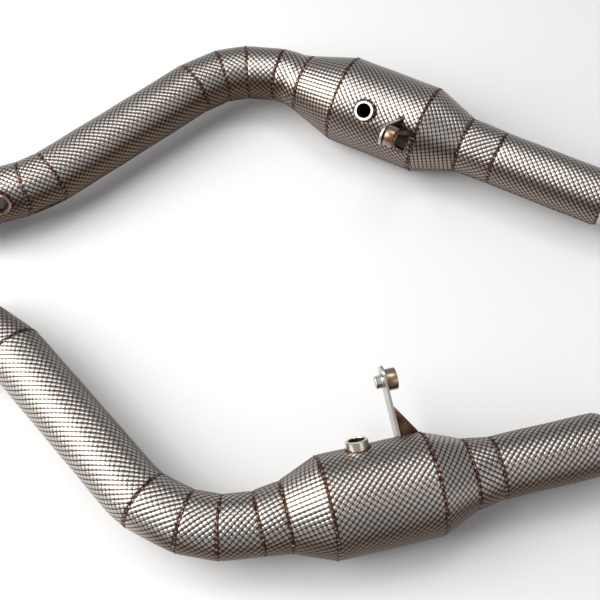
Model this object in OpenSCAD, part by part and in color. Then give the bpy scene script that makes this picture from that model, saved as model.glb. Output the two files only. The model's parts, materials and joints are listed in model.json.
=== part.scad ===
// A pair of exhaust downpipes, near and far, each with a catalytic converter,
// an insulation wrap under stainless foil, a hanger bracket and a V-band inlet clamp.
// Both pipes lie flat, with their centrelines level and their converters on the floor.

/* [Tube] */
// Outside diameter of the exhaust tube
tube_od = 63.5; // [57:0.5:76]
// Wall of the tube and of the cones
tube_wall = 1.5; // [1.2:0.1:2]

/* [Converter] */
// Outside diameter of the converter shell
shell_od = 108; // [98:1:127]
// Length of the converter's straight shell
shell_len = 118; // [100:1:142]
// Wall of the converter shell
shell_wall = 1.5; // [1.2:0.1:2]
// Thickness of the mat round each brick
mat_t = 4; // [3:0.5:6]
// Length of the upstream brick
front_brick_len = 28; // [20:1:34]
// Length of the downstream brick
rear_brick_len = 52; // [40:1:60]
// Distance from a brick's outer face to the end of the shell
brick_inset = 3; // [1:1:6]
// Distance between the wound rings of a brick
ring_pitch = 4; // [3:0.5:8]
// Thickness of a wound ring and of its cross webs
ring_t = 0.5; // [0.4:0.1:1]

/* [Heat wrap] */
// Thickness of the insulation under the foil
wrap_t = 3.6; // [2:0.2:5]
// Thickness of the foil
foil_t = 0.4; // [0.3:0.1:0.6]
// Half of the gap between two pieces at a seam
seam_gap = 0.2; // [0.1:0.1:0.5]
// Length of bare tube between the wrap and an end fitting
bare_len = 6; // [3:1:15]

/* [Sensor bungs] */
// Outside diameter of a sensor bung
bung_od = 25.4; // [22:0.2:28]
// Diameter of the hole through a bung
bung_bore = 17; // [16:0.1:18]
// Height of a bung's rim above the steel that it stands on
bung_h = 12.5; // [9:0.5:18]
// Distance of the converter bung upstream of the shell's middle
bung_back = 13; // [8:1:16]
// Gap round a bung in the wrap and the foil
bung_gap = 0.3; // [0.1:0.1:1]
// Tilt of the near converter bung from upright
near_bung_tilt = 53; // [30:1:70]
// Tilt of the far converter bung from upright
far_bung_tilt = 43; // [20:1:60]
// Distance of the far inlet bung from the turn before the inlet
inlet_bung_at = 32; // [20:1:34]
// Tilt of the far inlet bung from upright
inlet_bung_tilt = 55; // [0:1:70]

/* [Hanger bracket] */
// Height of the plate's round tip above the shell
bracket_h = 84; // [70:1:100]
// Width of the bracket plate
bracket_w = 26; // [22:1:32]
// Thickness of the bracket plate and of its gusset
plate_t = 3; // [2:0.5:4]
// Distance of the plate's upstream face from the shell's middle
bracket_at = 34; // [28:1:38]
// Height of the gusset above the shell
gusset_h = 36; // [24:1:50]
// Diameter of the weld boss
boss_d = 25; // [18:1:26]
// Length of the weld boss
boss_len = 12.5; // [6:0.5:16]
// Distance of the weld boss below the middle of the plate's round end
boss_drop = 4; // [0:0.5:8]
// Diameter of the hanger bolt
bolt_d = 8; // [6:1:10]
// Width of the hanger bolt's hexagon across its flats
bolt_af = 13; // [10:1:16]
// Height of the hanger bolt's hexagon
bolt_head_h = 7; // [5:0.5:9]
// Thickness of the washer face under the hexagon
washer_t = 1.5; // [1:0.5:2.5]
// Tilt of the near bracket from upright
near_bracket_tilt = 72; // [60:1:100]
// Tilt of the far bracket from upright
far_bracket_tilt = 49; // [40:1:80]

/* [Near pipe] */
// Middle of the near converter along X
near_cat_x = 81.9; // [0:0.1:150]
// Middle of the near converter along Y
near_cat_y = -286.1; // [-360:0.1:-200]
// Direction of the near converter, from +X towards +Y
near_heading = 13.6; // [0:0.1:30]
// Length of the near inlet cone
near_inlet_cone = 45; // [35:1:60]
// Length of the near inlet taper, between the cone and the bend
near_inlet_taper = 30; // [20:1:40]
// Radius of the near bend
near_bend_r = 148; // [120:1:170]
// Angle that the near bend turns through
near_bend_angle = 61.6; // [50:0.1:75]
// Foil seams of the near bend, as shares of its angle
near_seams = [0, 0.26, 0.5, 0.82]; // [0:0.01:1]
// Length of the near pipe's straight tube, from its bend to its turn
near_inlet_run = 218; // [180:1:260]
// Radius of the near turn
near_turn_r = 110; // [90:1:140]
// Angle that the near turn bends back through
near_turn_angle = 25; // [15:0.1:35]
// Length of the near neck, from the turn to the inlet face
near_neck = 54; // [40:1:90]
// Length of the near outlet cone
near_outlet_cone = 43; // [35:1:60]
// Length of the near outlet taper
near_outlet_taper = 31; // [20:1:50]
// Length of the near pipe from its outlet taper to its open end
near_outlet_run = 185; // [150:1:230]

/* [Far pipe] */
// Middle of the far converter along X
far_cat_x = 109.9; // [0:0.1:150]
// Middle of the far converter along Y
far_cat_y = 246.9; // [200:0.1:340]
// Direction of the far converter, from +X towards +Y
far_heading = -27; // [-40:0.1:-10]
// Length of the far inlet cone
far_inlet_cone = 60; // [40:1:70]
// Length of the far inlet taper, between the cone and the bend
far_inlet_taper = 15; // [10:1:30]
// Radius of the far bend
far_bend_r = 128; // [110:1:155]
// Angle that the far bend turns through
far_bend_angle = 67.2; // [58:0.1:78]
// Foil seams of the far bend, as shares of its angle
far_seams = [0.16, 0.46, 0.7, 1]; // [0:0.01:1]
// Length of the far pipe's straight tube, from its bend to its turn
far_inlet_run = 230; // [190:1:270]
// Radius of the far turn
far_turn_r = 100; // [85:1:130]
// Angle that the far turn bends back through
far_turn_angle = 21; // [12:0.1:30]
// Length of the far neck, from the turn to the inlet face
far_neck = 80; // [68:1:110]
// Length of the far outlet cone
far_outlet_cone = 56; // [40:1:70]
// Length of the far outlet taper
far_outlet_taper = 47; // [30:1:60]
// Length of the far pipe from its outlet taper to its open end
far_outlet_run = 205; // [160:1:240]

/* [Slip sockets] */
// Length of the expanded socket at each outlet
socket_len = 44; // [30:1:60]
// Gap round a tube that is pushed into the socket
socket_gap = 0.15; // [0.1:0.05:0.4]
// Length of the flare between the tube and the socket
socket_flare = 8; // [5:1:14]
// Width of the two squeeze slots
slot_w = 3; // [2:0.5:5]
// Length of the two squeeze slots
slot_len = 24; // [15:1:30]

/* [V-band clamp] */
// Outside diameter of the V-band flange
flange_od = 88; // [82:1:100]
// Thickness of the flange's rim
rim_t = 2.2; // [1.5:0.1:4]
// Radial depth of the flange's sloping back
bevel_h = 6; // [4:0.5:7]
// Length of the flange from its face to its weld
flange_len = 12; // [9:1:18]
// Gap between the flange and the clamp's channel
band_gap = 0.35; // [0.25:0.05:0.6]
// Thickness of the clamp's channel
band_t = 1.5; // [1:0.1:2.5]
// Half of the angle between the ends of the two halves
split_angle = 8; // [7:0.5:10]
// Diameter of the T-bolt's shank
t_bolt_d = 6; // [5:0.5:7]
// Diameter of the T-bolt's cross bar
t_bar_d = 8; // [7:0.5:9]
// Running gap round the cross bar, and round the hanger bolt
running_gap = 0.05; // [0.03:0.01:0.1]
// Gap between the T-bolt's nut and its saddle
nut_gap = 0.4; // [0.3:0.05:0.8]
// Width of the nut across its flats
nut_af = 10; // [8:0.5:12]
// Height of the nut
nut_h = 6; // [4:0.5:8]
// Diameter of the hinge pins
pin_d = 4; // [3:0.5:5]

/* [Hidden] */
$fn = 96;
NEAR = 0;
FAR = 1;

// Radii shared by both pipes
tube_r = tube_od / 2;
tube_ri = tube_r - tube_wall;
shell_r = shell_od / 2;
shell_ri = shell_r - shell_wall;
brick_r = shell_ri - mat_t;
cover_t = wrap_t + foil_t;
axis_h = shell_r + cover_t;
half_shell = shell_len / 2;
bung_r = bung_od / 2;

// Values that differ between the pipes, as [near, far]
cat_x = [near_cat_x, far_cat_x];
cat_y = [near_cat_y, far_cat_y];
heading = [near_heading, far_heading];
mirrored = [1, 0];
inlet_cone_len = [near_inlet_cone, far_inlet_cone];
inlet_taper_len = [near_inlet_taper, far_inlet_taper];
bend_r = [near_bend_r, far_bend_r];
bend_angle = [near_bend_angle, far_bend_angle];
seams = [near_seams, far_seams];
inlet_run = [near_inlet_run, far_inlet_run];
turn_r = [near_turn_r, far_turn_r];
turn_angle = [near_turn_angle, far_turn_angle];
neck = [near_neck, far_neck];
outlet_cone_len = [near_outlet_cone, far_outlet_cone];
outlet_taper_len = [near_outlet_taper, far_outlet_taper];
outlet_run = [near_outlet_run, far_outlet_run];
bung_tilt = [near_bung_tilt, far_bung_tilt];
bracket_tilt = [near_bracket_tilt, far_bracket_tilt];

// How far each cone's narrow end stands outside the tube, where its taper begins
inlet_step = [4.2, 3.8];
outlet_step = [5, 1.4];

// Places along each pipe, from the middle of its shell
function bend_at(p) = half_shell + inlet_cone_len[p] + inlet_taper_len[p];
function outlet_at(p) = half_shell + outlet_cone_len[p] + outlet_taper_len[p];
function wrap_in_end(p) = neck[p] - flange_len - bare_len;
function socket_at(p) = outlet_run[p] - socket_len - socket_flare;
function wrap_out_end(p) = socket_at(p) - bare_len;
function seam_angle(p, i) = seams[p][i] * bend_angle[p];

// Frames: each pipe's own frame has its flow along +X and the floor level below it
module pipe_frame(p) {
    translate([cat_x[p], cat_y[p], axis_h])
        rotate([0, 0, heading[p]])
            mirror([0, mirrored[p], 0])
                children();
}

// +X runs upstream along the straight inlet, from the end of the bend
module inlet_frame(p) {
    a = bend_angle[p];
    r = bend_r[p];
    pipe_frame(p)
        translate([-bend_at(p) - r * sin(a), -r + r * cos(a), 0])
            rotate([0, 0, 180 + a])
                children();
}

// +X runs downstream along the straight outlet, from the end of its taper
module outlet_frame(p) {
    pipe_frame(p)
        translate([outlet_at(p), 0, 0])
            children();
}

// +X runs upstream along the neck, from the end of the turn
module neck_frame(p) {
    a = turn_angle[p];
    r = turn_r[p];
    inlet_frame(p)
        translate([inlet_run[p] + r * sin(a), -r + r * cos(a), 0])
            rotate([0, 0, -a])
                children();
}

// The clamp's frame: its origin is on the inlet face, +X points out of the pipe
module clamp_frame(p) {
    neck_frame(p)
        translate([neck[p], 0, 0])
            children();
}

// Building blocks, all along +X
module lathe(points, angle = 360) {
    rotate([0, 90, 0])
        rotate_extrude(angle = angle)
            polygon(points);
}

module sleeve(r_out, r_in, from, to) {
    lathe([[r_in, from], [r_out, from], [r_out, to], [r_in, to]]);
}

// Part of a sleeve, from one tilt to another, measured from upright towards -Y
module sleeve_sector(r_out, r_in, from, to, tilt, span) {
    rotate([180 + tilt, 0, 0])
        lathe([[r_in, from], [r_out, from], [r_out, to], [r_in, to]], span);
}

module inlet_elbow(p, r_out, r_in, from_angle, to_angle) {
    translate([-bend_at(p), -bend_r[p], 0])
        rotate([0, 0, 90 + from_angle])
            rotate_extrude(angle = to_angle - from_angle)
                translate([bend_r[p], 0])
                    ring(r_out, r_in);
}

module turn_elbow(p, r_out, r_in, gap) {
    gap_angle = gap / turn_r[p] * 180 / PI;
    inlet_frame(p)
        translate([inlet_run[p], -turn_r[p], 0])
            rotate([0, 0, 90 - turn_angle[p] + gap_angle])
                rotate_extrude(angle = turn_angle[p] - 2 * gap_angle)
                    translate([turn_r[p], 0])
                        ring(r_out, r_in);
}

// A piece of the bend that stops short of each end by the gap of a seam
module cut_elbow(p, r_out, r_in, from_angle, to_angle) {
    gap = seam_gap / bend_r[p] * 180 / PI;
    inlet_elbow(p, r_out, r_in, from_angle + gap, to_angle - gap);
}

module ring(r_out, r_in) {
    difference() {
        circle(r = r_out);
        circle(r = r_in);
    }
}

// Something that stands out from the axis at a place and a tilt, with +Z pointing outwards
module standing(at, tilt) {
    translate([at, 0, 0])
        rotate([tilt, 0, 0])
            children();
}

// A wall of revolution between the steel and a radius further out, through [place, steel radius]
module layer(stations, grow_in, grow_out) {
    n = len(stations);
    outer = [for (i = [0 : n - 1]) [stations[i][1] + grow_out, stations[i][0]]];
    inner = [for (i = [n - 1 : -1 : 0]) [stations[i][1] + grow_in, stations[i][0]]];
    lathe(concat(outer, inner));
}

function taper_in(p) = [
    [-bend_at(p), tube_r],
    [-half_shell - inlet_cone_len[p], tube_r + inlet_step[p]]
];
function cone_in(p) = [
    [-half_shell - inlet_cone_len[p], tube_r + inlet_step[p]],
    [-half_shell, shell_r]
];
function cone_out(p) = [
    [half_shell, shell_r],
    [half_shell + outlet_cone_len[p], tube_r + outlet_step[p]]
];
function taper_out(p) = [
    [half_shell + outlet_cone_len[p], tube_r + outlet_step[p]],
    [outlet_at(p), tube_r]
];
function clear_of_seam(ends) =
    let (step = seam_gap * (ends[1][1] - ends[0][1]) / (ends[1][0] - ends[0][0]))
    [[ends[0][0] + seam_gap, ends[0][1] + step], [ends[1][0] - seam_gap, ends[1][1] - step]];
function through_in(p) = [taper_in(p)[0], taper_in(p)[1], cone_in(p)[1]];
function through_out(p) = [cone_out(p)[0], cone_out(p)[1], taper_out(p)[1]];

// Steel
module inlet_flange(p) {
    neck_r = tube_r + tube_wall;
    rim_r = flange_od / 2;
    color("#9a9a98")
        clamp_frame(p)
            lathe([
                [tube_ri, 0], [rim_r, 0], [rim_r, -rim_t],
                [rim_r - bevel_h, -rim_t - bevel_h / 2],
                [neck_r, -flange_len * 0.65], [neck_r, -flange_len], [tube_ri, -flange_len]
            ]);
}

module inlet_neck(p) {
    color("#b8b4ae")
        difference() {
            neck_frame(p)
                sleeve(tube_r, tube_ri, 0, neck[p] - flange_len);
            if (p == FAR) inlet_bung_hole(bung_r);
        }
}

module inlet_turn(p) {
    color("#b0aca6")
        turn_elbow(p, tube_r, tube_ri, 0);
}

module inlet_tube(p) {
    color("#b8b4ae")
        inlet_frame(p)
            sleeve(tube_r, tube_ri, 0, inlet_run[p]);
}

module inlet_bend(p) {
    color("#b0aca6")
        pipe_frame(p)
            inlet_elbow(p, tube_r, tube_ri, 0, bend_angle[p]);
}

module inlet_cone(p) {
    color("#a8a29a")
        pipe_frame(p)
            layer(through_in(p), -tube_wall, 0);
}

module cat_shell(p) {
    color("#8d857c")
        pipe_frame(p)
            difference() {
                sleeve(shell_r, shell_ri, -half_shell, half_shell);
                standing(-bung_back, bung_tilt[p])
                    cylinder(r = bung_r, h = shell_od);
            }
}

module outlet_cone(p) {
    color("#a8a29a")
        pipe_frame(p)
            layer(through_out(p), -tube_wall, 0);
}

module outlet_pipe(p) {
    socket_ri = tube_r + socket_gap;
    socket_r = socket_ri + tube_wall;
    end = outlet_run[p];
    color("#b8b4ae")
        outlet_frame(p)
            difference() {
                lathe([
                    [tube_ri, 0], [tube_r, 0], [tube_r, socket_at(p)],
                    [socket_r, socket_at(p) + socket_flare], [socket_r, end],
                    [socket_ri, end], [socket_ri, socket_at(p) + socket_flare],
                    [tube_ri, socket_at(p)]
                ]);
                translate([end - slot_len, -slot_w / 2, -tube_od])
                    cube([socket_len, slot_w, 2 * tube_od]);
            }
}

// Bricks: wound rings on cross webs, with the sensor's gap between the two
module brick(length) {
    rings = floor(brick_r / ring_pitch);
    for (i = [1 : rings]) {
        r = brick_r - (rings - i) * ring_pitch;
        sleeve(r, r - ring_t, 0, length);
    }
    intersection() {
        sleeve(brick_r - ring_t / 2, 0, 0, length);
        for (turn = [0, 90])
            rotate([turn, 0, 0])
                translate([0, -ring_t / 2, -shell_r])
                    cube([length, ring_t, shell_od]);
    }
}

module cat_bricks(p) {
    color("#b7b1a6")
        pipe_frame(p) {
            translate([-half_shell + brick_inset, 0, 0])
                brick(front_brick_len);
            translate([half_shell - brick_inset - rear_brick_len, 0, 0])
                brick(rear_brick_len);
        }
}

module cat_mats(p) {
    front = -half_shell + brick_inset;
    rear = half_shell - brick_inset;
    color("#d8d2c4")
        pipe_frame(p) {
            sleeve(shell_ri, brick_r, front, front + front_brick_len);
            sleeve(shell_ri, brick_r, rear - rear_brick_len, rear);
        }
}

// Sensor bungs
module bung(steel_r, foot) {
    difference() {
        translate([0, 0, foot])
            cylinder(r = bung_r, h = steel_r + bung_h - foot);
        translate([0, 0, -1])
            cylinder(d = bung_bore, h = steel_r + bung_h + 2);
    }
}

module cat_bung(p) {
    color("#cfc8b8")
        pipe_frame(p)
            difference() {
                standing(-bung_back, bung_tilt[p])
                    bung(shell_r, 0);
                sleeve(shell_ri, 0, -half_shell, half_shell);
            }
}

module far_inlet_bung() {
    color("#8a7c6c")
        neck_frame(FAR)
            difference() {
                standing(inlet_bung_at, -inlet_bung_tilt)
                    bung(tube_r, 0);
                sleeve(tube_ri, 0, inlet_bung_at - tube_od, inlet_bung_at + tube_od);
            }
}

module inlet_bung_hole(r) {
    neck_frame(FAR)
        standing(inlet_bung_at, -inlet_bung_tilt)
            cylinder(r = r, h = tube_od);
}

module cat_bung_hole(p, r) {
    pipe_frame(p)
        standing(-bung_back, bung_tilt[p])
            cylinder(r = r, h = shell_od);
}

// Hanger bracket: a radial plate, square to the converter's axis
tip_r = bracket_w / 2;
tip_at = shell_r + bracket_h - tip_r;
boss_at = tip_at - boss_drop;
bolt_hole_r = bolt_d / 2 + running_gap;

module bracket_frame(p) {
    pipe_frame(p)
        standing(bracket_at, bracket_tilt[p])
            children();
}

module bracket_plate(p) {
    color("#b4b0a8")
        difference() {
            bracket_frame(p)
                difference() {
                    union() {
                        translate([0, -bracket_w / 2, 0])
                            cube([plate_t, bracket_w, tip_at]);
                        translate([0, 0, tip_at])
                            rotate([0, 90, 0])
                                cylinder(r = tip_r, h = plate_t);
                    }
                    translate([-1, 0, boss_at])
                        rotate([0, 90, 0])
                            cylinder(r = bolt_hole_r, h = plate_t + 2);
                }
            pipe_frame(p)
                sleeve(shell_r, 0, -half_shell, half_shell);
        }
}

module bracket_gusset(p) {
    toe = half_shell - bracket_at;
    color("#5f4a3c")
        difference() {
            bracket_frame(p)
                translate([0, plate_t / 2, 0])
                    rotate([90, 0, 0])
                        linear_extrude(plate_t)
                            polygon([
                                [plate_t, 0], [toe, 0], [toe, shell_r + cover_t + 1],
                                [plate_t + 3, shell_r + gusset_h], [plate_t, shell_r + gusset_h]
                            ]);
            pipe_frame(p)
                sleeve(shell_r, 0, -shell_len, shell_len);
        }
}

module bracket_boss(p) {
    color("#8a6f52")
        bracket_frame(p)
            translate([plate_t, 0, boss_at])
                rotate([0, 90, 0])
                    difference() {
                        cylinder(d = boss_d, h = boss_len);
                        translate([0, 0, -1])
                            cylinder(r = bolt_hole_r, h = boss_len + 2);
                    }
}

module hanger_bolt(p) {
    color("#c9c4bc")
        bracket_frame(p)
            translate([0, 0, boss_at])
                rotate([0, 90, 0]) {
                    translate([0, 0, -washer_t])
                        cylinder(d = bolt_d, h = washer_t + plate_t + boss_len);
                    translate([0, 0, -washer_t])
                        cylinder(d = bolt_af + 3, h = washer_t);
                    translate([0, 0, -washer_t - bolt_head_h])
                        cylinder(d = bolt_af / cos(30), h = bolt_head_h, $fn = 6);
                }
}

// The opening that the wrap and the foil leave round the bracket's foot: a slot for the plate,
// a narrow one for the gusset, and a window beside them
module bracket_opening(p) {
    edge = bung_gap;
    r_in = shell_ri;
    r_out = axis_h + 2;
    foot_half = asin(min(0.9, (bracket_w / 2 + edge) / shell_r));
    gusset_half = asin((plate_t / 2 + edge) / shell_r);
    tilt = bracket_tilt[p];
    pipe_frame(p) {
        sleeve_sector(r_out, r_in, bracket_at - edge, bracket_at + plate_t + edge,
                      tilt - foot_half, 2 * foot_half);
        sleeve_sector(r_out, r_in, bracket_at, half_shell + edge,
                      tilt - gusset_half, 2 * gusset_half);
        sleeve_sector(r_out, r_in, bracket_at, bracket_at + plate_t + 15,
                      tilt - gusset_half, 30);
    }
}

// Insulation, cut in five pieces: round the neck, the turn, the straight tube and the bend,
// and over all the rest
module wrap(p) {
    rest = concat(through_in(p), through_out(p), [[outlet_at(p) + wrap_out_end(p), tube_r]]);
    color("#e6e0d2")
        difference() {
            union() {
                neck_frame(p)
                    sleeve(tube_r + wrap_t, tube_r, seam_gap, wrap_in_end(p));
                turn_elbow(p, tube_r + wrap_t, tube_r, seam_gap);
                inlet_frame(p)
                    sleeve(tube_r + wrap_t, tube_r, seam_gap, inlet_run[p] - seam_gap);
                pipe_frame(p) {
                    cut_elbow(p, tube_r + wrap_t, tube_r, 0, bend_angle[p]);
                    layer(rest, 0, wrap_t);
                }
            }
            cat_bung_hole(p, bung_r + bung_gap);
            bracket_opening(p);
            if (p == FAR) inlet_bung_hole(bung_r + bung_gap);
        }
}

// Foil pieces
module foil_color() {
    color("#c8c6c2")
        children();
}

module foil_sleeve(from, to) {
    sleeve(tube_r + cover_t, tube_r + wrap_t, from + seam_gap, to - seam_gap);
}

module foil_elbow(p, from_angle, to_angle) {
    cut_elbow(p, tube_r + cover_t, tube_r + wrap_t, from_angle, to_angle);
}

module foil_inlet_end(p) {
    foil_color() {
        difference() {
            neck_frame(p)
                foil_sleeve(0, wrap_in_end(p));
            if (p == FAR) inlet_bung_hole(bung_r + bung_gap);
        }
        if (p == NEAR) foil_turn(p);
    }
}

module far_foil_turn() {
    foil_color()
        foil_turn(FAR);
}

module foil_turn(p) {
    turn_elbow(p, tube_r + cover_t, tube_r + wrap_t, seam_gap);
}

module foil_inlet_long(p) {
    last = seam_angle(p, 3);
    foil_color() {
        inlet_frame(p)
            foil_sleeve(0, inlet_run[p]);
        if (last < bend_angle[p])
            pipe_frame(p)
                foil_elbow(p, last, bend_angle[p]);
    }
}

module foil_bend_gores(p) {
    foil_color()
        pipe_frame(p)
            for (i = [0 : 2])
                foil_elbow(p, seam_angle(p, i), seam_angle(p, i + 1));
}

// The layers over a cone and its taper meet at a seam
module foil_inlet_cone(p) {
    first = seam_angle(p, 0);
    foil_color()
        pipe_frame(p) {
            layer(clear_of_seam(taper_in(p)), wrap_t, cover_t);
            layer(clear_of_seam(cone_in(p)), wrap_t, cover_t);
            if (first > 0)
                foil_elbow(p, 0, first);
        }
}

module foil_cat(p) {
    foil_color()
        difference() {
            pipe_frame(p)
                sleeve(axis_h, shell_r + wrap_t, -half_shell, half_shell);
            cat_bung_hole(p, bung_r + bung_gap);
            bracket_opening(p);
        }
}

module foil_outlet_cone(p) {
    foil_color()
        pipe_frame(p) {
            layer(clear_of_seam(cone_out(p)), wrap_t, cover_t);
            layer(clear_of_seam(taper_out(p)), wrap_t, cover_t);
        }
}

module foil_outlet_long(p) {
    foil_color()
        outlet_frame(p)
            foil_sleeve(0, wrap_out_end(p));
}

// V-band clamp. Its channel follows the flange's sloping back on both sides of the face.
channel_r = flange_od / 2 + 0.8;
channel_foot_r = flange_od / 2 - bevel_h + 1;
lug_z = channel_r + band_t + 6.7;
lug_foot_z = channel_r - 3;
lug_w = 16;
lug_t = 3;
lug_y = 7;
ear_wall = 2.5;
ear_w = t_bar_d + 2 * ear_wall;
bar_y = lug_y + ear_w / 2;
saddle_y = lug_y + lug_t;
hinge_r = pin_d / 2 + 1.5;
hinge_y = 6.5;
hinge_z = channel_r + hinge_r + 0.7;
hub_half = 4.4;

function channel_x(r) = rim_t + (flange_od / 2 - r) / 2 + band_gap;

module channel(tilt, span) {
    foot = channel_x(channel_foot_r);
    top = channel_x(channel_r);
    rotate([180 + tilt, 0, 0])
        lathe([
            [channel_foot_r, -foot - band_t], [channel_r + band_t, -top - band_t * 0.7],
            [channel_r + band_t, top + band_t * 0.7], [channel_foot_r, foot + band_t],
            [channel_foot_r, foot], [channel_r, top], [channel_r, -top], [channel_foot_r, -foot]
        ], span);
}

// The channel's inside as far as the middle of its wall, which keeps lugs and hubs out of it
module channel_inside() {
    half = band_t / 2;
    foot = channel_x(channel_foot_r) + half;
    top = channel_x(channel_r) + half;
    lathe([
        [0, -foot], [channel_foot_r, -foot], [channel_r + half, -top],
        [channel_r + half, top], [channel_foot_r, foot], [0, foot]
    ]);
}

// Hinge hub of one half, on the side that the sign gives
module hinge_hub(side) {
    difference() {
        union() {
            translate([-hub_half, side * hinge_y, -hinge_z])
                rotate([0, 90, 0])
                    cylinder(r = hinge_r, h = 2 * hub_half);
            translate([-hub_half, side * (hinge_y + 0.5) - 3, -hinge_z])
                cube([2 * hub_half, 6, hinge_r]);
        }
        translate([-lug_w, side * hinge_y, -hinge_z])
            rotate([0, 90, 0])
                cylinder(d = pin_d, h = 2 * lug_w);
        channel_inside();
    }
}

module clamp_front_band(p) {
    shank_w = t_bolt_d + 1;
    color("#a9abac")
        clamp_frame(p) {
            channel(split_angle, 180 - 2 * split_angle);
            hinge_hub(-1);
            difference() {
                translate([-lug_w / 2, -saddle_y, lug_foot_z])
                    cube([lug_w, lug_t, lug_z + t_bolt_d / 2 - lug_foot_z]);
                translate([-shank_w / 2, -saddle_y - 1, lug_z - shank_w / 2])
                    cube([shank_w, lug_t + 2, lug_w]);
                channel_inside();
            }
        }
}

module clamp_rear_band(p) {
    ear_in = t_bolt_d / 2 + 0.5;
    ear_t = lug_w / 2 - ear_in;
    color("#a9abac")
        clamp_frame(p) {
            channel(180 + split_angle, 180 - 2 * split_angle);
            hinge_hub(1);
            for (x = [-lug_w / 2, ear_in])
                difference() {
                    translate([x, lug_y, lug_foot_z])
                        cube([ear_t, ear_w, lug_z + t_bar_d / 2 + ear_wall - lug_foot_z]);
                    translate([-lug_w, bar_y, lug_z])
                        rotate([0, 90, 0])
                            cylinder(r = t_bar_d / 2 + running_gap, h = 2 * lug_w);
                    channel_inside();
                }
        }
}

module clamp_link(p) {
    link_t = 1.5;
    color("#8f9192")
        clamp_frame(p) {
            for (x = [-hub_half - link_t, hub_half]) {
                for (side = [-1, 1])
                    translate([x, side * hinge_y, -hinge_z])
                        rotate([0, 90, 0])
                            cylinder(r = hinge_r - 0.3, h = link_t);
                translate([x, -hinge_y, -hinge_z - hinge_r + 0.3])
                    cube([link_t, 2 * hinge_y, 2 * hinge_r - 0.6]);
            }
            for (side = [-1, 1])
                translate([-hub_half - link_t - 0.8, side * hinge_y, -hinge_z])
                    rotate([0, 90, 0])
                        cylinder(d = pin_d, h = 2 * (hub_half + link_t + 0.8));
        }
}

module t_bolt(p) {
    color("#c4c4c0")
        clamp_frame(p) {
            translate([-lug_w / 2, bar_y, lug_z])
                rotate([0, 90, 0])
                    cylinder(d = t_bar_d, h = lug_w);
            translate([0, bar_y, lug_z])
                rotate([90, 0, 0])
                    cylinder(d = t_bolt_d, h = bar_y + saddle_y + nut_gap + nut_h + 9);
        }
}

module t_bolt_nut(p) {
    color("#b9b48f")
        clamp_frame(p)
            translate([0, -saddle_y - nut_gap, lug_z])
                rotate([90, 0, 0])
                    difference() {
                        cylinder(d = nut_af / cos(30), h = nut_h, $fn = 6);
                        translate([0, 0, -1])
                            cylinder(d = t_bolt_d, h = nut_h + 2);
                    }
}

// Near pipe
inlet_flange(NEAR);  // near_inlet_flange
inlet_neck(NEAR);  // near_inlet_neck
inlet_turn(NEAR);  // near_inlet_turn
inlet_tube(NEAR);  // near_inlet_tube
inlet_bend(NEAR);  // near_inlet_bend
inlet_cone(NEAR);  // near_inlet_cone
cat_shell(NEAR);  // near_cat_shell
cat_mats(NEAR);  // near_cat_mats
cat_bricks(NEAR);  // near_cat_bricks
outlet_cone(NEAR);  // near_outlet_cone
outlet_pipe(NEAR);  // near_outlet_pipe
wrap(NEAR);  // near_wrap
cat_bung(NEAR);  // near_cat_bung
bracket_plate(NEAR);  // near_bracket_plate
bracket_gusset(NEAR);  // near_bracket_gusset
bracket_boss(NEAR);  // near_bracket_boss
hanger_bolt(NEAR);  // near_hanger_bolt
foil_inlet_end(NEAR);  // near_foil_inlet_end
foil_inlet_long(NEAR);  // near_foil_inlet_long
foil_bend_gores(NEAR);  // near_foil_bend_gores
foil_inlet_cone(NEAR);  // near_foil_inlet_cone
foil_cat(NEAR);  // near_foil_cat
foil_outlet_cone(NEAR);  // near_foil_outlet_cone
foil_outlet_long(NEAR);  // near_foil_outlet_long
clamp_front_band(NEAR);  // near_clamp_front_band
clamp_rear_band(NEAR);  // near_clamp_rear_band
clamp_link(NEAR);  // near_clamp_link
t_bolt(NEAR);  // near_t_bolt
t_bolt_nut(NEAR);  // near_t_bolt_nut

// Far pipe
inlet_flange(FAR);  // far_inlet_flange
inlet_neck(FAR);  // far_inlet_neck
inlet_turn(FAR);  // far_inlet_turn
inlet_tube(FAR);  // far_inlet_tube
inlet_bend(FAR);  // far_inlet_bend
inlet_cone(FAR);  // far_inlet_cone
cat_shell(FAR);  // far_cat_shell
cat_mats(FAR);  // far_cat_mats
cat_bricks(FAR);  // far_cat_bricks
outlet_cone(FAR);  // far_outlet_cone
outlet_pipe(FAR);  // far_outlet_pipe
wrap(FAR);  // far_wrap
cat_bung(FAR);  // far_cat_bung
far_inlet_bung();
bracket_plate(FAR);  // far_bracket_plate
bracket_gusset(FAR);  // far_bracket_gusset
bracket_boss(FAR);  // far_bracket_boss
foil_inlet_end(FAR);  // far_foil_inlet_end
far_foil_turn();  // far_foil_inlet_turn
foil_inlet_long(FAR);  // far_foil_inlet_long
foil_bend_gores(FAR);  // far_foil_bend_gores
foil_inlet_cone(FAR);  // far_foil_inlet_cone
foil_cat(FAR);  // far_foil_cat
foil_outlet_cone(FAR);  // far_foil_outlet_cone
foil_outlet_long(FAR);  // far_foil_outlet_long
clamp_front_band(FAR);  // far_clamp_front_band
clamp_rear_band(FAR);  // far_clamp_rear_band
clamp_link(FAR);  // far_clamp_link
t_bolt(FAR);  // far_t_bolt
t_bolt_nut(FAR);  // far_t_bolt_nut
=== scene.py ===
# %% [markdown]
# # A pair of wrapped exhaust downpipes
#
# Each pipe carries hot gas from a turbocharger or a header, round one bend, through a
# catalytic converter and on to the rest of the exhaust. The steel is wrapped in mineral
# wool, and the wool is kept in place by an embossed stainless foil that is cut in pieces,
# folded round the pipe and tacked along its seams. The steel parts come from a packed
# CAD model. Here they get their finish, and everything that a CAD solid can't show, the
# embossing above all, is modelled on top of them.

import json
import math

import bpy
import numpy as np
from mathutils import Matrix, Vector


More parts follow.
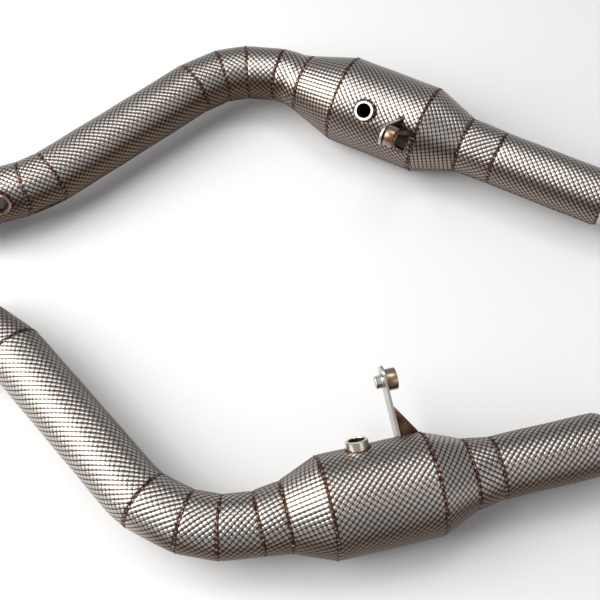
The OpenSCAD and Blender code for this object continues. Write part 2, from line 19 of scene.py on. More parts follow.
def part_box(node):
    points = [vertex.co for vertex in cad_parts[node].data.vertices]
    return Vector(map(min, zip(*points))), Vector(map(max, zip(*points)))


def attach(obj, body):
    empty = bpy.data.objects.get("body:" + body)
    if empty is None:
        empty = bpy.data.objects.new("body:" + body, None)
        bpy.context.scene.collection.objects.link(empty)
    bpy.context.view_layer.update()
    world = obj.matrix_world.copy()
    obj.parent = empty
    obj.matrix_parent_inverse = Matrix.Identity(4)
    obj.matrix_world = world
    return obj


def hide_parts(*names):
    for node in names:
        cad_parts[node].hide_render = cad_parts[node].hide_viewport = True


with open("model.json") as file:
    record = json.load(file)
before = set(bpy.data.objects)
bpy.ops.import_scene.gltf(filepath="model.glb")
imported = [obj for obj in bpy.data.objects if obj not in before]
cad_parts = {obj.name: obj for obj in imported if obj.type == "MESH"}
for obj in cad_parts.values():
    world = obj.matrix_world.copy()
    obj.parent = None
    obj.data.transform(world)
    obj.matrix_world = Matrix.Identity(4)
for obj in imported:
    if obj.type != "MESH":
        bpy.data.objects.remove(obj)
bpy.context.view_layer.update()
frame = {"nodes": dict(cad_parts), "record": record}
nodes = frame["nodes"]

# %% [markdown]
# ## The sizes of both pipes
#
# Everything is laid out along each pipe's centreline, so one list of lengths per pipe
# describes it: neck, turn, straight tube, bend, taper, cone, converter, cone, taper,
# straight outlet. A station is a distance in millimetres along the flow, 0 at the converter's
# middle. One could place each piece by hand instead, but then nothing would follow when a
# bend changes, so the pieces below all ask the pipe where they are.

# %% The sizes of both pipes, in millimetres and degrees
MM = 0.001
TUBE_R = 31.75
SHELL_R = 54.0
HALF_SHELL = 59.0
COVER = 4.0
FLANGE_LEN = 12.0
BARE_LEN = 6.0
SOCKET = 52.0
SEAM_SIDE = math.radians(-112)

PIPE_SIZES = {
    "near": dict(
        mirror=-1, cone_in=45, taper_in=30, step_in=4.2, bend_r=148, bend=61.6,
        gores=(0, 0.26, 0.5, 0.82), run=218, turn_r=110, turn=25, neck=54,
        cone_out=43, taper_out=31, step_out=5.0, out_run=185, bung=53, bracket=72),
    "far": dict(
        mirror=1, cone_in=60, taper_in=15, step_in=3.8, bend_r=128, bend=67.2,
        gores=(0.16, 0.46, 0.7, 1), run=230, turn_r=100, turn=21, neck=80,
        cone_out=56, taper_out=47, step_out=1.4, out_run=205, bung=43, bracket=49),
}


def mount(name):
    return next(m for m in frame["record"]["mounts"] if m["name"] == name)


class Pipe:
    """A pipe's centreline and its foil's radius, asked for by station."""

    def __init__(self, name, sizes):
        self.name = name
        self.__dict__.update(sizes)
        low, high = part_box(name + "_cat_shell")
        self.middle = np.array((low + high) / 2) / MM
        self.along = np.array(mount(name + "_outlet_socket")["axis"], float)
        self.up = np.array([0.0, 0.0, 1.0])
        self.side = self.mirror * np.cross(self.up, self.along)
        self.bend_rad = math.radians(self.bend)
        self.bend_at = HALF_SHELL + self.cone_in + self.taper_in
        self.inlet_at = -self.bend_at - self.bend_r * self.bend_rad
        self.turn_rad = math.radians(self.turn)
        self.turn_at = self.inlet_at - self.run
        self.neck_at = self.turn_at - self.turn_r * self.turn_rad
        self.in_face = self.neck_at - self.neck
        self.wrap_in = self.in_face + FLANGE_LEN + BARE_LEN
        self.out_at = HALF_SHELL + self.cone_out + self.taper_out
        self.out_end = self.out_at + self.out_run
        self.wrap_out = self.out_end - SOCKET - BARE_LEN
        foil, tucked = TUBE_R + COVER, TUBE_R + 2.3
        self.stations = [
            self.wrap_in, self.wrap_in + 5, -self.bend_at, -HALF_SHELL - self.cone_in,
            -HALF_SHELL, HALF_SHELL, HALF_SHELL + self.cone_out, self.out_at,
            self.wrap_out - 5, self.wrap_out]
        self.radii = [
            tucked, foil, foil, foil + self.step_in, SHELL_R + COVER,
            SHELL_R + COVER, foil + self.step_out, foil, foil, tucked]

    def foil_r(self, t):
        return np.interp(t, self.stations, self.radii)

    def curve(self, t):
        """How much the pipe curves at a station, as 1 / mm, towards the bend's inside."""
        if self.inlet_at < t < -self.bend_at:
            return 1 / self.bend_r
        return -1 / self.turn_r if self.neck_at < t < self.turn_at else 0.0

    def section(self, t):
        """Centre, flow direction and outward side of the bend, in the room's axes."""
        t = np.asarray(t, float)
        phi = np.clip((-self.bend_at - t) / self.bend_r, 0, self.bend_rad)
        psi = np.clip((self.turn_at - t) / self.turn_r, 0, self.turn_rad)
        ahead = np.maximum(t + self.bend_at, 0)
        tube = np.clip(t - self.inlet_at, -self.run, 0)
        neck = np.minimum(t - self.neck_at, 0)
        full, now = self.bend_rad, phi - psi
        x = (-self.bend_at - self.bend_r * np.sin(phi) + ahead + np.cos(phi) * tube
             - self.turn_r * (math.sin(full) - np.sin(full - psi)) + np.cos(now) * neck)
        y = (-self.bend_r + self.bend_r * np.cos(phi) + np.sin(phi) * tube
             - self.turn_r * (np.cos(full - psi) - math.cos(full)) + np.sin(now) * neck)
        centre = self.middle + x[..., None] * self.along + y[..., None] * self.side
        flow = np.cos(now)[..., None] * self.along + np.sin(now)[..., None] * self.side
        outer = -np.sin(now)[..., None] * self.along + np.cos(now)[..., None] * self.side
        return centre, flow, outer

    def gore_point(self, t, theta, r, t0, t1, share):
        """A point on a gore, pulled from the curve towards the straight line of its piece."""
        t = np.asarray(t, float)
        first = self.point(np.full_like(t, t0), theta, r)
        last = self.point(np.full_like(t, t1), theta, r)
        along = ((t - t0) / (t1 - t0))[..., None]
        straight = first + (last - first) * along
        return self.point(t, theta, r) * (1 - share) + straight * share

    def point(self, t, theta, r):
        """A point at an angle from upright, towards the outside of the bend, in metres."""
        centre, _, outer = self.section(t)
        theta = np.asarray(theta, float)
        r = np.asarray(r, float)
        out = np.cos(theta)[..., None] * self.up + np.sin(theta)[..., None] * outer
        return (centre + r[..., None] * out) * MM


PIPES = {name: Pipe(name, sizes) for name, sizes in PIPE_SIZES.items()}
for pipe in PIPES.values():
    print(pipe.name, "stations from", round(pipe.in_face), "to", round(pipe.out_end), "mm")

# %% [markdown]
# ## The camera and the light
#
# The pipes are looked at from well above, as things laid out on a table are. A long-ish
# lens keeps the two pipes in proportion. The light is one large soft box high on the
# left, two small ones from above and from the right, and a dim room. Metal shows what it
# reflects, so the room stays darker than the floor: each pillow of the foil then gets one
# bright top and dark sides.

# %% Camera
CAMERA_BACK = 1.265
CAMERA_ELEVATION = math.radians(60)
shell_middle = sum((np.array(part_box(n + "_cat_shell")[i]) for n in PIPES for i in (0, 1))) / 4
target = Vector(shell_middle) - Vector((0.09985, 0.0209, 0))
away = Vector((0, -math.cos(CAMERA_ELEVATION), math.sin(CAMERA_ELEVATION)))
bpy.ops.object.camera_add(
    location=target + CAMERA_BACK * away, rotation=(math.pi / 2 - CAMERA_ELEVATION, 0, 0))
camera = bpy.context.object
camera.name = "camera"
camera.data.sensor_width = 36
camera.data.lens = 63
camera.data.clip_start = 0.05
bpy.context.scene.camera = camera
print("camera at", [round(c, 3) for c in camera.location])


# %% Lights and the room
def soft_box(name, place, aim, size, power, tint):
    bpy.ops.object.light_add(type="AREA", location=place)
    lamp = bpy.context.object
    lamp.name = name
    lamp.data.shape = "RECTANGLE"
    lamp.data.size, lamp.data.size_y = size
    lamp.data.energy = power
    lamp.data.color = tint
    lamp.rotation_euler = (Vector(aim) - Vector(place)).to_track_quat("-Z", "Y").to_euler()
    return lamp


soft_box("key_light", (-1.75, -0.2, 1.6), (0, 0, 0), (2.2, 2.2), 96, (1.0, 0.99, 0.97))
soft_box("top_light", (0.3, 0.6, 2.6), (0, 0, 0), (1.0, 1.0), 16, (1.0, 0.99, 0.98))
soft_box("fill_light", (1.7, -1.6, 1.6), (0, 0, 0), (1.2, 1.2), 5, (1.0, 0.95, 0.90))
room = bpy.data.worlds.new("room")
room.use_nodes = True
room.node_tree.nodes["Background"].inputs["Color"].default_value = (0.95, 0.96, 1.0, 1)
room.node_tree.nodes["Background"].inputs["Strength"].default_value = 0.38
bpy.context.scene.world = room
bpy.context.scene.view_settings.view_transform = "Standard"

# %% [markdown]
# ## Small helpers
#
# Every piece starts from nothing selected, because the CAD nodes come in selected and an
# operator acts on all that is. Faces and vertices are then picked in code, by place.


# %% Helpers for selecting and for naming
def deselect():
    if bpy.context.mode != "OBJECT":
        bpy.ops.object.mode_set(mode="OBJECT")
    bpy.ops.object.select_all(action="DESELECT")


def use(obj):
    deselect()
    obj.select_set(True)
    bpy.context.view_layer.objects.active = obj
    return obj


def vertices(mesh):
    co = np.empty(len(mesh.vertices) * 3)
    mesh.vertices.foreach_get("co", co)
    return co.reshape(-1, 3)


def set_vertices(mesh, co):
    mesh.vertices.foreach_set("co", np.ascontiguousarray(co, float).ravel())
    mesh.update()


def edit(obj, *steps):
    """Runs mesh operators on all of the object."""
    use(obj)
    bpy.ops.object.mode_set(mode="EDIT")
    bpy.ops.mesh.select_all(action="SELECT")
    for step, options in steps:
        step(**options)
    bpy.ops.object.mode_set(mode="OBJECT")


def apply_modifier(obj, kind, **settings):
    use(obj)
    modifier = obj.modifiers.new(kind.lower(), kind)
    for key, value in settings.items():
        setattr(modifier, key, value)
    bpy.ops.object.modifier_apply(modifier=modifier.name)


def place_on(obj, body, slot, material, *stands_for):
    obj.data.materials.clear()
    obj.data.materials.append(material)
    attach(obj, body)
    if stands_for:
        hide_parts(*stands_for)
    return obj


# %% [markdown]
# ## Materials
#
# Two effects turn up in more than one material, so each is a node group with named
# sockets: the brown and straw heat tint that steel takes near a weld, and the fine
# unevenness of its gloss. A group only hands out colours and values. The shader itself
# stays in the material.


# %% Node helpers
def new_tree(name):
    material = bpy.data.materials.new(name)
    material.use_nodes = True
    tree = material.node_tree
    return material, tree, tree.nodes["Principled BSDF"]


def add(tree, kind, **inputs):
    node = tree.nodes.new(kind)
    for key, value in inputs.items():
        if key in node.inputs:
            node.inputs[key].default_value = value
        else:
            setattr(node, key, value)
    return node


def noise(tree, coords, scale, detail=3.0, rough=0.5):
    node = add(tree, "ShaderNodeTexNoise", Scale=scale, Detail=detail, Roughness=rough)
    tree.links.new(coords, node.inputs["Vector"])
    return node.outputs["Fac"]


def ramp(tree, value, *stops):
    node = tree.nodes.new("ShaderNodeValToRGB")
    elements = node.color_ramp.elements
    while len(elements) < len(stops):
        elements.new(0.5)
    for element, (place, colour) in zip(elements, stops):
        element.position = place
        element.color = (*colour, 1) if isinstance(colour, tuple) else (colour,) * 3 + (1,)
    tree.links.new(value, node.inputs["Fac"])
    return node.outputs["Color"]


def mix(tree, share, first, second, mode="MIX"):
    node = add(tree, "ShaderNodeMix", data_type="RGBA", blend_type=mode)
    for socket, value in zip((node.inputs["Factor"], node.inputs[6], node.inputs[7]),
                             (share, first, second)):
        if isinstance(value, bpy.types.NodeSocket):
            tree.links.new(value, socket)
        else:
            socket.default_value = (*value, 1) if isinstance(value, tuple) else value
    return node.outputs[2]


def maths(tree, operation, *values, clamp=False):
    node = add(tree, "ShaderNodeMath", operation=operation, use_clamp=clamp)
    for socket, value in zip(node.inputs, values):
        if isinstance(value, bpy.types.NodeSocket):
            tree.links.new(value, socket)
        else:
            socket.default_value = value
    return node.outputs["Value"]


def group(name, inputs, outputs):
    tree = bpy.data.node_groups.new(name, "ShaderNodeTree")
    for label, kind, value in inputs:
        socket = tree.interface.new_socket(label, in_out="INPUT", socket_type=kind)
        if value is not None:
            socket.default_value = value
    for label, kind in outputs:
        tree.interface.new_socket(label, in_out="OUTPUT", socket_type=kind)
    return tree, tree.nodes.new("NodeGroupInput"), tree.nodes.new("NodeGroupOutput")


def use_group(tree, which, **values):
    node = add(tree, "ShaderNodeGroup", node_tree=which)
    for key, value in values.items():
        if isinstance(value, bpy.types.NodeSocket):
            tree.links.new(value, node.inputs[key])
        else:
            node.inputs[key].default_value = value
    return node


# %% Shared effect: heat tint
COLOUR, VALUE, VECTOR = "NodeSocketColor", "NodeSocketFloat", "NodeSocketVector"
heat_tint, g_in, g_out = group(
    "heat_tint",
    [("Steel", COLOUR, (0.6, 0.58, 0.55, 1)), ("Heat", VALUE, 0.5), ("Place", VECTOR, None)],
    [("Colour", COLOUR), ("Scale Mask", VALUE)])
patches = noise(heat_tint, g_in.outputs["Place"], 55.0, 4.0, 0.62)
reach = maths(heat_tint, "ADD", g_in.outputs["Heat"],
              maths(heat_tint, "MULTIPLY", maths(heat_tint, "SUBTRACT", patches, 0.5), 0.9))
tint = ramp(heat_tint, reach, (0.12, (1.0, 1.0, 1.0)), (0.34, (0.80, 0.64, 0.50)),
            (0.52, (0.42, 0.26, 0.19)), (0.72, (0.20, 0.11, 0.085)), (0.95, (0.11, 0.07, 0.06)))
heat_tint.links.new(mix(heat_tint, 1.0, g_in.outputs["Steel"], tint, "MULTIPLY"),
                    g_out.inputs["Colour"])
heat_tint.links.new(ramp(heat_tint, reach, (0.45, 0.0), (0.9, 1.0)),
                    g_out.inputs["Scale Mask"])

# %% Shared effect: uneven gloss
uneven_gloss, g_in, g_out = group(
    "uneven_gloss",
    [("Roughness", VALUE, 0.3), ("Spread", VALUE, 0.2), ("Size", VALUE, 300.0),
     ("Place", VECTOR, None)],
    [("Roughness", VALUE), ("Grain", VALUE)])
grain_node = add(uneven_gloss, "ShaderNodeTexNoise", Detail=5.0, Roughness=0.65)
uneven_gloss.links.new(g_in.outputs["Place"], grain_node.inputs["Vector"])
uneven_gloss.links.new(g_in.outputs["Size"], grain_node.inputs["Scale"])
centred = maths(uneven_gloss, "SUBTRACT", grain_node.outputs["Fac"], 0.5)
spread = maths(uneven_gloss, "MULTIPLY", centred, g_in.outputs["Spread"])
uneven_gloss.links.new(
    maths(uneven_gloss, "ADD", g_in.outputs["Roughness"], spread, clamp=True),
    g_out.inputs["Roughness"])
uneven_gloss.links.new(grain_node.outputs["Fac"], g_out.inputs["Grain"])
print("shared effects:", [g.name for g in bpy.data.node_groups])

# %% [markdown]
# The foil is bright on top of each pillow, and dull and brown in the grooves. That is some
# soot, but mostly painted shade: it stands for the shade down in the grooves and keeps their
# bottoms from catching highlights. Near the seams the heat of the tacking browns the foil as
# well. The pillows are real geometry, and each vertex carries three numbers from the
# modelling: how far up its pillow it is, how near a seam, and how far round to the
# underside, which is made browner and darker as painted shade. The flanks turned to the
# inlet end, where the key light falls, are spared that painted shade and stay nearly as
# bright as the top.


# %% Foil material
def foil_material():
    material, tree, shader = new_tree("embossed_foil")
    place = tree.nodes.new("ShaderNodeTexCoord").outputs["Object"]
    height = add(tree, "ShaderNodeAttribute", attribute_name="pillow").outputs["Fac"]
    seam = add(tree, "ShaderNodeAttribute", attribute_name="seam_heat").outputs["Fac"]
    broad = noise(tree, place, 9.0, 2.0)
    steel = mix(tree, broad, (0.63, 0.595, 0.56), (0.50, 0.465, 0.43))
    # Painted shade: the underside is multiplied towards dark brown.
    under = add(tree, "ShaderNodeAttribute", attribute_name="under").outputs["Fac"]
    steel = mix(tree, under, steel, mix(tree, 1.0, steel, (0.27, 0.21, 0.165), "MULTIPLY"))
    # Painted shade in the grooves, with a little soot: low pillow values multiply the colour nearly to
    # black.
    groove_shade = ramp(tree, height, (0.0, (0.07, 0.055, 0.045)),
                  (0.4, (0.20, 0.165, 0.14)), (0.78, (1.0, 1.0, 1.0)))
    steel = mix(tree, 1.0, steel, groove_shade, "MULTIPLY")
    tinted = use_group(tree, heat_tint, Steel=steel, Heat=seam, Place=place)
    gloss = use_group(tree, uneven_gloss, Roughness=0.33, Spread=0.25, Size=450.0, Place=place)
    tree.links.new(tinted.outputs["Colour"], shader.inputs["Base Color"])
    dull = maths(tree, "MULTIPLY", tinted.outputs["Scale Mask"], 0.3)
    tree.links.new(maths(tree, "ADD", gloss.outputs["Roughness"], dull, clamp=True),
                   shader.inputs["Roughness"])
    bump = add(tree, "ShaderNodeBump", Strength=0.12, Distance=0.0002)
    tree.links.new(gloss.outputs["Grain"], bump.inputs["Height"])
    tree.links.new(bump.outputs["Normal"], shader.inputs["Normal"])
    shader.inputs["Metallic"].default_value = 1.0
    return material


FOIL = foil_material()


# %% Steel materials
def steel_material(name, colour, roughness, heat, spread=0.2, size=350.0, grain=0.15,
                   metallic=1.0):
    material, tree, shader = new_tree(name)
    place = tree.nodes.new("ShaderNodeTexCoord").outputs["Object"]
    base = mix(tree, noise(tree, place, 26.0, 3.0), colour,
               tuple(0.82 * c for c in colour))
    tinted = use_group(tree, heat_tint, Steel=base, Heat=heat, Place=place)
    gloss = use_group(tree, uneven_gloss, Roughness=roughness, Spread=spread, Size=size,
                      Place=place)
    tree.links.new(tinted.outputs["Colour"], shader.inputs["Base Color"])
    tree.links.new(gloss.outputs["Roughness"], shader.inputs["Roughness"])
    bump = add(tree, "ShaderNodeBump", Strength=grain, Distance=0.0002)
    tree.links.new(gloss.outputs["Grain"], bump.inputs["Height"])
    tree.links.new(bump.outputs["Normal"], shader.inputs["Normal"])
    shader.inputs["Metallic"].default_value = metallic
    return material


def seam_material():
    material, tree, shader = new_tree("tacked_seam")
    place = tree.nodes.new("ShaderNodeTexCoord").outputs["Object"]
    tack = add(tree, "ShaderNodeAttribute", attribute_name="tack").outputs["Fac"]
    burnt = ramp(tree, noise(tree, place, 420.0, 3.0), (0.3, (0.028, 0.011, 0.010)),
                 (0.55, (0.070, 0.028, 0.023)), (0.75, (0.17, 0.095, 0.085)))
    blob = mix(tree, noise(tree, place, 160.0, 2.0), (0.52, 0.41, 0.40), (0.26, 0.17, 0.15))
    share = ramp(tree, tack, (0.35, 0.0), (0.75, 1.0))
    tree.links.new(mix(tree, share, burnt, blob), shader.inputs["Base Color"])
    gloss = use_group(tree, uneven_gloss, Roughness=0.48, Spread=0.4, Size=700.0, Place=place)
    tree.links.new(gloss.outputs["Roughness"], shader.inputs["Roughness"])
    bump = add(tree, "ShaderNodeBump", Strength=0.7, Distance=0.0003)
    tree.links.new(gloss.outputs["Grain"], bump.inputs["Height"])
    tree.links.new(bump.outputs["Normal"], shader.inputs["Normal"])
    shader.inputs["Metallic"].default_value = 0.75
    return material


def wool_material(name):
    material, tree, shader = new_tree(name)
    place = tree.nodes.new("ShaderNodeTexCoord").outputs["Object"]
    fibre = noise(tree, place, 900.0, 6.0, 0.75)
    tree.links.new(ramp(tree, fibre, (0.3, (0.30, 0.25, 0.19)), (0.7, (0.62, 0.56, 0.46))),
                   shader.inputs["Base Color"])
    bump = add(tree, "ShaderNodeBump", Strength=0.9, Distance=0.0006)
    tree.links.new(fibre, bump.inputs["Height"])
    tree.links.new(bump.outputs["Normal"], shader.inputs["Normal"])
    shader.inputs["Roughness"].default_value = 0.95
    return material


SEAM = seam_material()
WOOL = wool_material("mineral_wool")
TUBE = steel_material("tube_steel", (0.60, 0.58, 0.55), 0.3, 0.12)
# Heat-tinted shell steel, made near black partly as painted shade for the window beside the bracket.
SHELL_AND_WINDOW_SHADE = steel_material("shell_steel_and_window_shade", (0.05, 0.042, 0.036), 0.5, 0.25, 0.3)
BUNG = steel_material("bung_steel", (0.72, 0.69, 0.62), 0.28, 0.14)
PLATE_EDGE = steel_material("sawn_edge", (0.62, 0.60, 0.57), 0.36, 0.08)
BRACKET = steel_material("bracket_steel", (0.27, 0.225, 0.19), 0.36, 0.48)
BOSS = steel_material("boss_steel", (0.52, 0.455, 0.38), 0.3, 0.32)
# Painted shade inside the sensor hole: its threads are made near black.
BORE_SHADE = steel_material("bore_shade", (0.045, 0.036, 0.030), 0.6, 0.2)
BOLT = steel_material("bolt_steel", (0.66, 0.65, 0.63), 0.24, 0.1)
CLAMP = steel_material("clamp_steel", (0.62, 0.62, 0.61), 0.27, 0.05)
NUT = steel_material("nut_plate", (0.70, 0.66, 0.46), 0.3, 0.05)
BRICK = steel_material("brick_foil", (0.34, 0.31, 0.27), 0.45, 0.4)
MAT = wool_material("brick_mat")
print("materials:", len(bpy.data.materials))

# %% [markdown]
# ## The embossed foil
#
# The real foil is a flat sheet with rows of little pillows, turned 45 degrees to the pipe,
# cut to shape, wrapped round and tacked. It is made the same way here. One pillow is
# shaped from a small grid, arrayed into a flat sheet, trimmed with bisects, and rolled
# on by moving each vertex to its place on the pipe. Round a straight tube the number of
# pillows is whole, so the sheet closes on itself. A cone's piece is cut from the sheet as
# a fan, so its rows swing round it, and its two edges meet under a seam. In the bend, a
# gore's ends are curved on the flat, so the pillows keep their size inside and outside.
# A bump texture could fake this, but the edge of the pipe would stay smooth. One set of
# grooves is shallower than the other, so the rows read as stripes.

# %% One pillow
PILLOW_HEIGHT = 0.78
PILLOW = 5.3


def one_pillow():
    bpy.ops.mesh.primitive_grid_add(x_subdivisions=4, y_subdivisions=4, size=1)
    tile = bpy.context.object
    tile.name = "pillow"
    co = vertices(tile.data)
    inner = (np.abs(co[:, :2]) < 0.3).all(axis=1)
    co[inner, :2] *= 0.33 / 0.25
    reach = np.abs(co[:, :2]).max(axis=1)
    corner = np.abs(co[:, :2]).min(axis=1)
    co[:, 2] = np.where(inner, np.where(reach < 0.1, 1.0, np.where(corner > 0.1, 0.6, 0.8)), 0)
    shallow = (np.abs(co[:, 1]) > 0.4) & (np.abs(co[:, 0]) < 0.4)
    co[shallow, 2] = 0.42
    set_vertices(tile.data, co)
    return tile


deselect()
pillow_tile = one_pillow()
print("pillow faces:", len(pillow_tile.data.polygons))


# %% Lay out, trim and roll a sheet
def flat_sheet(name, cell, side):
    """A square sheet of pillows, side by side millimetres, round the origin."""
    deselect()
    sheet = bpy.data.objects.new(name, pillow_tile.data.copy())
    bpy.context.scene.collection.objects.link(sheet)
    count = 2 * math.ceil(side / cell / 2) + 2
    for axis in range(2):
        step = [0.0, 0.0, 0.0]
        step[axis] = 1.0
        apply_modifier(sheet, "ARRAY", count=count, use_relative_offset=False,
                       use_constant_offset=True, constant_offset_displace=step,
                       use_merge_vertices=True, merge_threshold=0.001)
    co = vertices(sheet.data)
    co[:, :2] = (co[:, :2] - (count / 2 - 0.5)) * cell
    set_vertices(sheet.data, co)
    return sheet


def trim(obj, axis, low, high):
    cuts = []
    for limit, sign in ((low, -1), (high, 1)):
        place, normal = [0.0, 0.0, 0.0], [0.0, 0.0, 0.0]
        place[axis], normal[axis] = limit, sign
        cuts.append((bpy.ops.mesh.bisect, dict(
            plane_co=place, plane_no=normal, clear_outer=True, threshold=0.002)))
        cuts.append((bpy.ops.mesh.select_all, dict(action="SELECT")))
    edit(obj, *cuts)


def smooth_step(x, low, high):
    x = np.clip((x - low) / (high - low), 0, 1)
    return x * x * (3 - 2 * x)


class RoundHole:
    """A hole that a bung stands in."""

    def __init__(self, station, theta, radius, hole):
        self.station, self.theta, self.r, self.hole = station, theta, radius, hole

    def distance(self, t, theta):
        turn = (theta - self.theta + math.pi) % (2 * math.pi) - math.pi
        y = self.r * np.sin(turn)
        gap = np.hypot(t - self.station, y) - self.hole
        return np.where(np.abs(turn) < math.pi / 2, gap, 1e3)

    def snap(self, t, theta):
        turn = (theta - self.theta + math.pi) % (2 * math.pi) - math.pi
        x, y = t - self.station, self.r * np.sin(turn)
        scale = self.hole / np.maximum(np.hypot(x, y), 1e-6)
        return self.station + x * scale, self.theta + np.arcsin(y * scale / self.r)


class SlotHole:
    """A four-sided opening, between two stations and two angles."""

    def __init__(self, low, high, theta_low, theta_high, radius):
        self.mid = ((low + high) / 2, (theta_low + theta_high) / 2)
        self.half = ((high - low) / 2, (theta_high - theta_low) / 2 * radius)
        self.r = radius

    def local(self, t, theta):
        turn = (theta - self.mid[1] + math.pi) % (2 * math.pi) - math.pi
        return t - self.mid[0], turn * self.r

    def distance(self, t, theta):
        x, y = self.local(t, theta)
        return np.maximum(np.abs(x) - self.half[0], np.abs(y) - self.half[1])

    def snap(self, t, theta):
        x, y = self.local(t, theta)
        along = self.half[0] - np.abs(x) < self.half[1] - np.abs(y)
        x = np.where(along, np.sign(x) * self.half[0], x)
        y = np.where(along, y, np.sign(y) * self.half[1])
        return self.mid[0] + x, self.mid[1] + y / self.r


def cut_holes(obj, holes, width):
    """Drops the faces inside each hole and moves the ragged edge onto its outline."""
    r_flat = width / (2 * math.pi)
    for hole in holes:
        co = vertices(obj.data)
        theta = SEAM_SIDE + co[:, 1] / r_flat
        inside = hole.distance(co[:, 0], theta) < 0
        loops = np.empty(len(obj.data.loops), int)
        obj.data.loops.foreach_get("vertex_index", loops)
        starts = np.empty(len(obj.data.polygons), int)
        obj.data.polygons.foreach_get("loop_start", starts)
        lost = np.logical_and.reduceat(inside[loops], starts)
        obj.data.polygons.foreach_set("select", lost)
        t, turned = hole.snap(co[inside, 0], theta[inside])
        co[inside, 0] = t
        co[inside, 1] = ((turned - SEAM_SIDE) % (2 * math.pi)) * r_flat
        set_vertices(obj.data, co)
        use(obj)
        bpy.ops.object.mode_set(mode="EDIT")
        bpy.ops.mesh.select_mode(type="FACE")
        bpy.ops.object.mode_set(mode="OBJECT")
        obj.data.polygons.foreach_set("select", lost)
        bpy.ops.object.mode_set(mode="EDIT")
        bpy.ops.mesh.delete(type="FACE")
        bpy.ops.object.mode_set(mode="OBJECT")


def finish_sheet(obj, middle, thickness, smooth, close):
    """Turns the faces outwards, closes the seam and gives the sheet its thickness."""
    steps = [(bpy.ops.mesh.remove_doubles, dict(threshold=0.00003))] if close else []
    face = obj.data.polygons[len(obj.data.polygons) // 2]
    if (face.center - Vector(middle)).dot(face.normal) < 0:
        steps.append((bpy.ops.mesh.flip_normals, {}))
    if steps:
        edit(obj, *steps)
    if thickness:
        apply_modifier(obj, "SOLIDIFY", thickness=thickness, offset=-1, use_rim=True)
    use(obj)
    bpy.ops.object.shade_smooth_by_angle(angle=math.radians(smooth))


GORE_STRAIGHTENED = 0.85
# Where the painted shade on the underside starts and is full, and how far the flanks facing the key
# light are spared it.
UNDERSIDE_SHADE_FROM, UNDERSIDE_SHADE_FULL = -0.82, -0.42
LIT_FLANK_FROM, LIT_FLANK_FULL, LIT_FLANK_KEPT = 0.3, 0.62, 0.85


def roll_on(obj, pipe, t0, t1, width, holes, closed, gore=None):
    """Moves a trimmed flat piece, whose x is its station, to its place round the pipe."""
    co = vertices(obj.data)
    t, theta = co[:, 0], SEAM_SIDE + co[:, 1] / (width / (2 * math.pi))
    edge = np.minimum(np.minimum(t - t0, t1 - t), 0.6 + np.minimum(co[:, 1], width - co[:, 1]))
    for hole in holes:
        edge = np.minimum(edge, hole.distance(t, theta))
    edge = np.maximum(edge, 0)
    pillow = co[:, 2] * (0.25 + 0.75 * smooth_step(edge, 0.2, 2.6))
    wave = 0.3 * np.sin(2 * theta + t / 31 + pipe.mirror) * np.sin(t / 19 + theta)
    puff = 0.7 * np.exp(-edge / 1.5)
    r = pipe.foil_r(t) - PILLOW_HEIGHT - 0.1 - puff + wave + pillow * PILLOW_HEIGHT
    place = pipe.gore_point(t, theta, r, t0, t1, GORE_STRAIGHTENED) if gore else pipe.point(t, theta, r)
    set_vertices(obj.data, place)
    out = place / MM - pipe.section(t)[0]
    out = out / np.linalg.norm(out, axis=1)[:, None]
    # Painted shade: the underside is darkened by direction, except on the flanks that face the key
    # light on the left.
    lit_flank = smooth_step(-out[:, 0], LIT_FLANK_FROM, LIT_FLANK_FULL)
    under = smooth_step(-out[:, 2], UNDERSIDE_SHADE_FROM, UNDERSIDE_SHADE_FULL) * (1 - LIT_FLANK_KEPT * lit_flank)
    for key, value in (("pillow", pillow), ("seam_heat", 0.5 * np.exp(-edge / 2.0)),
                       ("under", under)):
        obj.data.attributes.new(key, "FLOAT", "POINT").data.foreach_set("value", value)
    face = obj.data.polygons[len(obj.data.polygons) // 2]
    finish_sheet(obj, pipe.section(t[face.vertices[0]])[0] * MM, 0.00035, 48, closed)


def foil_sleeve(name, pipe, t0, t1, node, holes=(), pivot=None, gap=0.25, gore=False):
    """A tube-like piece. In a bend its rows spread outside and close up inside."""
    t0, t1 = t0 + gap, t1 - gap
    middle = (t0 + t1) / 2
    width = 2 * math.pi * float(pipe.foil_r(middle))
    around = round(width / PILLOW / math.sqrt(2))
    cell = width / around / math.sqrt(2)
    pivot = middle if pivot is None else pivot
    spread = 1 + 1.1 * float(pipe.foil_r(middle)) * max(
        abs(pipe.curve(pivot - 0.5)), abs(pipe.curve(pivot + 0.5)))
    low_a, high_a = (t0 - pivot) * spread, (t1 - pivot) * spread
    shift = (low_a + high_a) / 2
    sheet = flat_sheet(name, cell, (high_a - low_a + width) / math.sqrt(2) + 4 * cell)
    co = vertices(sheet.data)
    a = (co[:, 0] - co[:, 1]) / math.sqrt(2)
    a = a + round(shift / cell / math.sqrt(2)) * cell * math.sqrt(2)
    b = (co[:, 0] + co[:, 1]) / math.sqrt(2) + width / 2
    if around % 2:
        b = b + cell / math.sqrt(2)
    theta = SEAM_SIDE + b / (width / (2 * math.pi))
    low, high = (1 + pipe.foil_r(middle) * pipe.curve(pivot + d) * np.sin(theta)
                 for d in (-0.5, 0.5))
    co[:, 0], co[:, 1] = pivot + np.where(a < 0, a / low, a / high), b
    set_vertices(sheet.data, co)
    trim(sheet, 0, t0, t1)
    trim(sheet, 1, 0, width)
    cut_holes(sheet, holes, width)
    roll_on(sheet, pipe, t0, t1, width, holes, closed=True, gore=gore)
    return place_on(sheet, pipe.name + "_pipe", "embossed_foil", FOIL, node)


